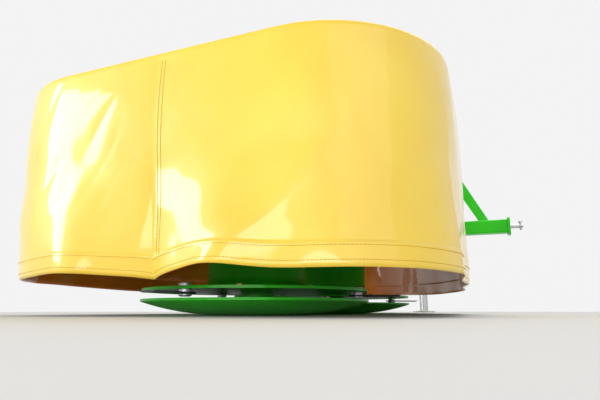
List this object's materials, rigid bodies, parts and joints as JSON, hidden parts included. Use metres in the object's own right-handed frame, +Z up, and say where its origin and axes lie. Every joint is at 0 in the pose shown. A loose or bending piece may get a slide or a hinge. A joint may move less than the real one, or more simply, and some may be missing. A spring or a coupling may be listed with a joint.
{
  "type": "two-drum rotary mower",
  "caption": "Rear-mounted rotary drum mower with swing-back three-point hitch, belt drive, floating beam, free-swinging knives, skid dishes and a cloth cover.",
  "frame": {"origin": "middle of the parked machine's bounding box, on the floor", "axes": "+X along the beam from the hitch to the outer drum, +Y to the mowing front, +Z up"},
  "size_m": [2.208, 1.2374, 0.94],
  "materials": {
    "green_paint": "gloss paint",
    "cover_cloth": "coated cloth, semi gloss",
    "knife_steel": "dark hardened steel",
    "steel": "zinc plated",
    "black_plastic": "matt"
  },
  "bodies": {
    "hitch": {"hitch_beam": "green_paint", "mast": "green_paint", "top_cheeks": "green_paint", "pivot_lugs": "green_paint", "kingpin": "steel", "lower_pins": "steel", "stand_sleeve": "green_paint", "stand_screw": "steel"},
    "stand": {"stand_leg": "steel"},
    "arm": {"swing_arm": "green_paint", "fork": "green_paint", "trunnion_pin": "steel", "belt_guard": "green_paint", "guard_back": "green_paint", "guard_bracket": "green_paint", "bearing_housing": "green_paint", "pto_shield": "black_plastic"},
    "input": {"input_shaft": "steel"},
    "cutter": {"beam": "green_paint", "beam_lid": "green_paint", "gear_train": "steel", "input_gearbox": "green_paint", "trunnion": "green_paint", "flange_outer": "green_paint", "flange_inner": "green_paint", "cover_hoop": "green_paint", "cover_rods": "green_paint", "front_stays": "green_paint", "rear_stays": "green_paint", "stay_lugs": "green_paint", "top_hoop": "green_paint", "top_rails": "green_paint", "cover_roof": "cover_cloth", "skirt_outer": "cover_cloth", "skirt_front": "cover_cloth", "skirt_inner": "cover_cloth", "skirt_rear": "cover_cloth"},
    "outer_drum": {"drum_outer": "green_paint", "disc_outer": "green_paint", "pins_outer": "steel"},
    "outer_skid": {"skid_outer": "green_paint"},
    "inner_drum": {"drum_inner": "green_paint", "disc_inner": "green_paint", "pins_inner": "steel"},
    "inner_skid": {"skid_inner": "green_paint"},
    "outer_knife_1": {"knife_outer_1": "knife_steel"},
    "outer_knife_2": {"knife_outer_2": "knife_steel"},
    "outer_knife_3": {"knife_outer_3": "knife_steel"},
    "inner_knife_1": {"knife_inner_1": "knife_steel"},
    "inner_knife_2": {"knife_inner_2": "knife_steel"},
    "inner_knife_3": {"knife_inner_3": "knife_steel"}
  },
  "joints": [
    {"name": "swing", "type": "hinge", "parent": "hitch", "child": "arm", "pos_m": [-0.869, 0.07425, 0.4], "axis": [0, 0, 1], "range_deg": [0, 90]},
    {"name": "float", "type": "hinge", "parent": "arm", "child": "cutter", "pos_m": [-0.193, -0.20875, 0.335], "axis": [0, -1, 0], "range_deg": [-10, 20]},
    {"name": "input_spin", "type": "hinge", "parent": "arm", "child": "input", "pos_m": [-0.728, -0.11375, 0.56], "axis": [0, 1, 0], "continuous": true},
    {"name": "stand_slide", "type": "slide", "parent": "hitch", "child": "stand", "axis": [0, 0, 1], "range_m": [0, 0.26]},
    {"name": "outer_drum_spin", "type": "hinge", "parent": "cutter", "child": "outer_drum", "pos_m": [0.682, -0.11375, 0.15], "axis": [0, 0, 1], "continuous": true},
    {"name": "outer_skid_spin", "type": "hinge", "parent": "outer_drum", "child": "outer_skid", "pos_m": [0.682, -0.11375, 0.03], "axis": [0, 0, 1], "continuous": true},
    {"name": "outer_knife_1_pivot", "type": "hinge", "parent": "outer_drum", "child": "outer_knife_1", "pos_m": [0.92348, -0.16069, 0.046], "axis": [0, 0, 1], "continuous": true},
    {"name": "outer_knife_2_pivot", "type": "hinge", "parent": "outer_drum", "child": "outer_knife_2", "pos_m": [0.60191, 0.11885, 0.046], "axis": [0, 0, 1], "continuous": true},
    {"name": "outer_knife_3_pivot", "type": "hinge", "parent": "outer_drum", "child": "outer_knife_3", "pos_m": [0.52061, -0.29941, 0.046], "axis": [0, 0, 1], "continuous": true},
    {"name": "inner_drum_spin", "type": "hinge", "parent": "cutter", "child": "inner_drum", "pos_m": [0.027, -0.11375, 0.15], "axis": [0, 0, 1], "continuous": true},
    {"name": "inner_skid_spin", "type": "hinge", "parent": "inner_drum", "child": "inner_skid", "pos_m": [0.027, -0.11375, 0.03], "axis": [0, 0, 1], "continuous": true},
    {"name": "inner_knife_1_pivot", "type": "hinge", "parent": "inner_drum", "child": "inner_knife_1", "pos_m": [0.26848, -0.06681, 0.046], "axis": [0, 0, 1], "continuous": true},
    {"name": "inner_knife_2_pivot", "type": "hinge", "parent": "inner_drum", "child": "inner_knife_2", "pos_m": [-0.13439, 0.07191, 0.046], "axis": [0, 0, 1], "continuous": true},
    {"name": "inner_knife_3_pivot", "type": "hinge", "parent": "inner_drum", "child": "inner_knife_3", "pos_m": [-0.05309, -0.34635, 0.046], "axis": [0, 0, 1], "continuous": true}
  ],
  "couplings": [
    {"joint": "inner_drum_spin", "follows": "outer_drum_spin", "ratio": -1},
    {"joint": "input_spin", "follows": "outer_drum_spin", "ratio": 0.28571}
  ]
}
